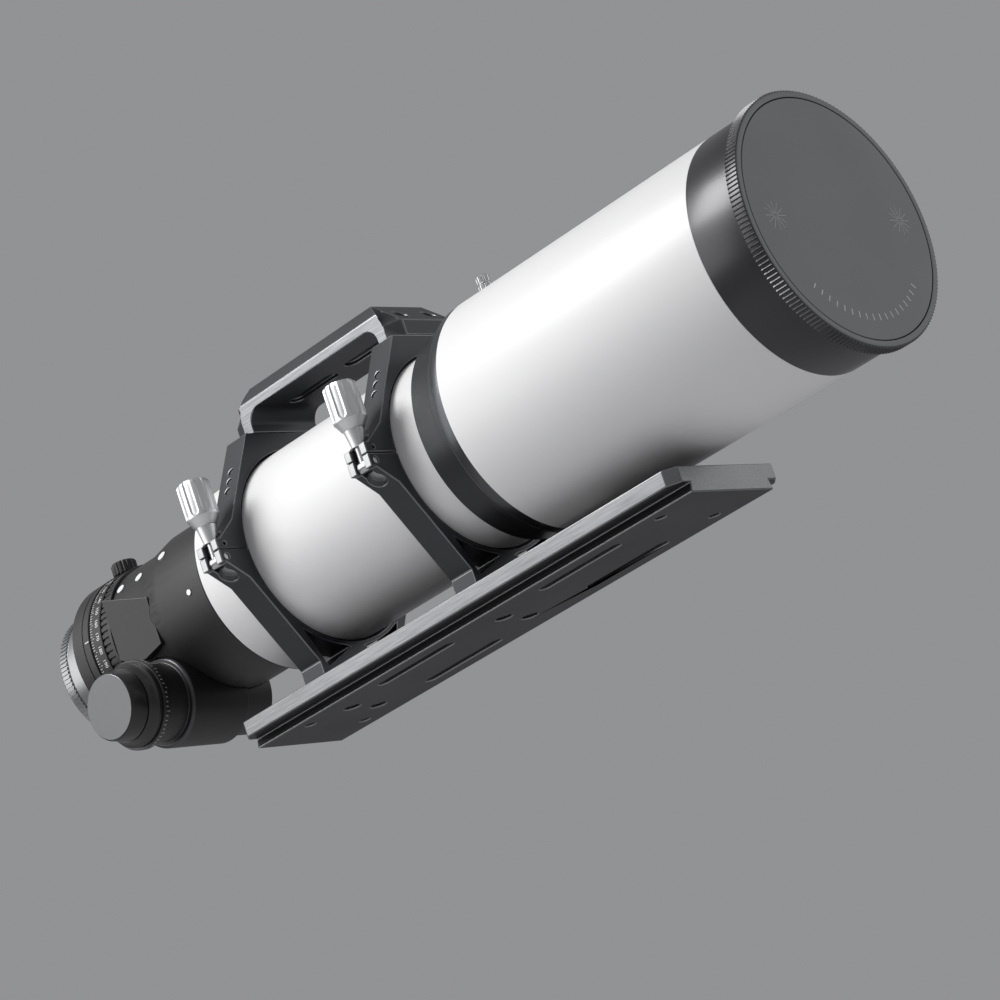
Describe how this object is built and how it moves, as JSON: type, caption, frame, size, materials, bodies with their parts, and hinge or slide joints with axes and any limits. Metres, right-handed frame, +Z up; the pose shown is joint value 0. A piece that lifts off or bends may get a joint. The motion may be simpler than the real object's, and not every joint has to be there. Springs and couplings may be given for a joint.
{
  "type": "refractor astrograph telescope tube assembly",
  "caption": "Refracting telescope tube with a sliding dew shield, hinged clamp rings, a carry handle, a side focus knob, a camera rotator and a wide dovetail plate.",
  "frame": {"origin": "middle of the dovetail plate's underside", "axes": "+X along the optical axis towards the sky, +Z up, -Y the side of the clamps and focus knob"},
  "size_m": [0.7002, 0.1905, 0.2215],
  "materials": {
    "satin_white": "satin white powder coat",
    "gloss_black": "deep gloss black",
    "ring_grey": "dark grey anodised, bright chamfers",
    "plate_grey": "brushed and grey anodised",
    "matte_black": "matte black anodised",
    "dark_grey": "dark grey anodised",
    "bright_steel": "polished",
    "steel": "brushed",
    "silver": "turned and clear anodised",
    "brass": "turned",
    "felt": "black felt",
    "lens": "coated optical glass",
    "cover_grey": "dark grey anodised disc",
    "bakelite": "black moulded",
    "mask_black": "black sheet"
  },
  "bodies": {
    "tube_assembly": {"dovetail_plate": "plate_grey", "ring_foot_screws": "steel", "lower_ring_front": "ring_grey", "lower_ring_rear": "ring_grey", "lower_ring_felts": "felt", "ring_hinge_pins": "steel", "clamp_studs": "steel", "clamp_stud_pins": "steel", "main_tube": "satin_white", "shield_collar": "dark_grey", "tube_baffles": "matte_black", "tube_end_ring": "matte_black", "objective_cell": "matte_black", "objective_lens_rear": "lens", "objective_lens_middle": "lens", "objective_lens_front": "lens", "lens_spacers": "matte_black", "objective_retaining_ring": "matte_black", "focuser_housing": "matte_black", "focus_drive_block": "matte_black", "housing_side_panel": "matte_black", "housing_screws": "steel", "pinion_bushes": "brass", "focus_guide_rods": "steel", "rotator_base": "matte_black", "rotator_scale_ring": "matte_black", "rotator_retainer": "matte_black"},
    "upper_rings": {"upper_ring_front": "ring_grey", "upper_ring_rear": "ring_grey", "upper_ring_felts": "felt", "carry_handle": "ring_grey", "handle_screws": "steel", "ring_set_screws": "steel"},
    "front_clamp": {"clamp_knob_front": "bright_steel"},
    "rear_clamp": {"clamp_knob_rear": "bright_steel"},
    "dew_shield": {"dew_shield": "satin_white", "dew_shield_front_band": "gloss_black", "dew_shield_rear_ring": "dark_grey", "dew_shield_felt": "felt"},
    "dew_lock": {"dew_shield_lock_screw": "bright_steel"},
    "front_cap": {"cap_ring": "gloss_black", "diffraction_mask": "mask_black"},
    "cap_cover": {"cap_cover_disc": "cover_grey"},
    "focus_carriage": {"focus_carriage": "matte_black", "focus_rack": "steel", "corrector_lens_front": "lens", "corrector_lens_rear": "lens", "corrector_rings": "matte_black"},
    "coarse_focus": {"pinion_shaft": "steel", "coarse_focus_knob": "bakelite", "focus_dial": "matte_black"},
    "fine_focus": {"fine_focus_knob": "bakelite", "fine_drive_shaft": "steel", "knob_face_disc": "plate_grey"},
    "rotator": {"rotator_body": "matte_black", "visual_back": "silver"},
    "rotator_lock": {"rotator_lock_knob": "matte_black"},
    "back_screw_upper": {"back_screw_upper": "bright_steel"},
    "back_screw_lower": {"back_screw_lower": "bright_steel"}
  },
  "joints": [
    {"name": "ring_opening", "type": "hinge", "parent": "tube_assembly", "child": "upper_rings", "pos_m": [0, 0.084, 0.1105], "axis": [-1, 0, 0], "range_deg": [0, 80]},
    {"name": "front_clamp_turn", "type": "hinge", "parent": "upper_rings", "child": "front_clamp", "pos_m": [0.0107, -0.0885, 0.118], "axis": [0, 0, 1], "continuous": true},
    {"name": "rear_clamp_turn", "type": "hinge", "parent": "upper_rings", "child": "rear_clamp", "pos_m": [-0.137, -0.0885, 0.118], "axis": [0, 0, 1], "continuous": true},
    {"name": "shield_slide", "type": "slide", "parent": "tube_assembly", "child": "dew_shield", "axis": [-1, 0, 0], "range_m": [0, 0.046]},
    {"name": "shield_lock_turn", "type": "hinge", "parent": "dew_shield", "child": "dew_lock", "pos_m": [0.075, 0, 0.1955], "axis": [0, 0, 1], "range_deg": [0, 720]},
    {"name": "cap_removal", "type": "slide", "parent": "dew_shield", "child": "front_cap", "axis": [1, 0, 0], "range_m": [0, 0.08]},
    {"name": "cover_removal", "type": "slide", "parent": "front_cap", "child": "cap_cover", "axis": [1, 0, 0], "range_m": [0, 0.03]},
    {"name": "focus_travel", "type": "slide", "parent": "tube_assembly", "child": "focus_carriage", "axis": [1, 0, 0], "range_m": [-0.008, 0.008]},
    {"name": "coarse_focus_turn", "type": "hinge", "parent": "tube_assembly", "child": "coarse_focus", "pos_m": [-0.2642, 0, 0.0576], "axis": [0, 1, 0], "range_deg": [-64, 64]},
    {"name": "fine_focus_turn", "type": "hinge", "parent": "tube_assembly", "child": "fine_focus", "pos_m": [-0.2642, 0, 0.0576], "axis": [0, 1, 0], "range_deg": [-640, 640]},
    {"name": "rotator_turn", "type": "hinge", "parent": "tube_assembly", "child": "rotator", "pos_m": [-0.31, 0, 0.1105], "axis": [1, 0, 0], "continuous": true},
    {"name": "rotator_lock_turn", "type": "hinge", "parent": "rotator", "child": "rotator_lock", "pos_m": [-0.312, 0, 0.1705], "axis": [0, 0, 1], "range_deg": [0, 720]},
    {"name": "back_screw_upper_turn", "type": "hinge", "parent": "rotator", "child": "back_screw_upper", "pos_m": [-0.338, 0.04229, 0.12589], "axis": [0, 0.9397, 0.342], "range_deg": [0, 720]},
    {"name": "back_screw_lower_turn", "type": "hinge", "parent": "rotator", "child": "back_screw_lower", "pos_m": [-0.338, 0.03447, 0.08157], "axis": [0, 0.766, -0.6428], "range_deg": [0, 720]}
  ],
  "couplings": [
    {"joint": "coarse_focus_turn", "follows": "focus_travel", "rad_per_m": 138.89},
    {"joint": "fine_focus_turn", "follows": "focus_travel", "rad_per_m": 1388.9}
  ]
}
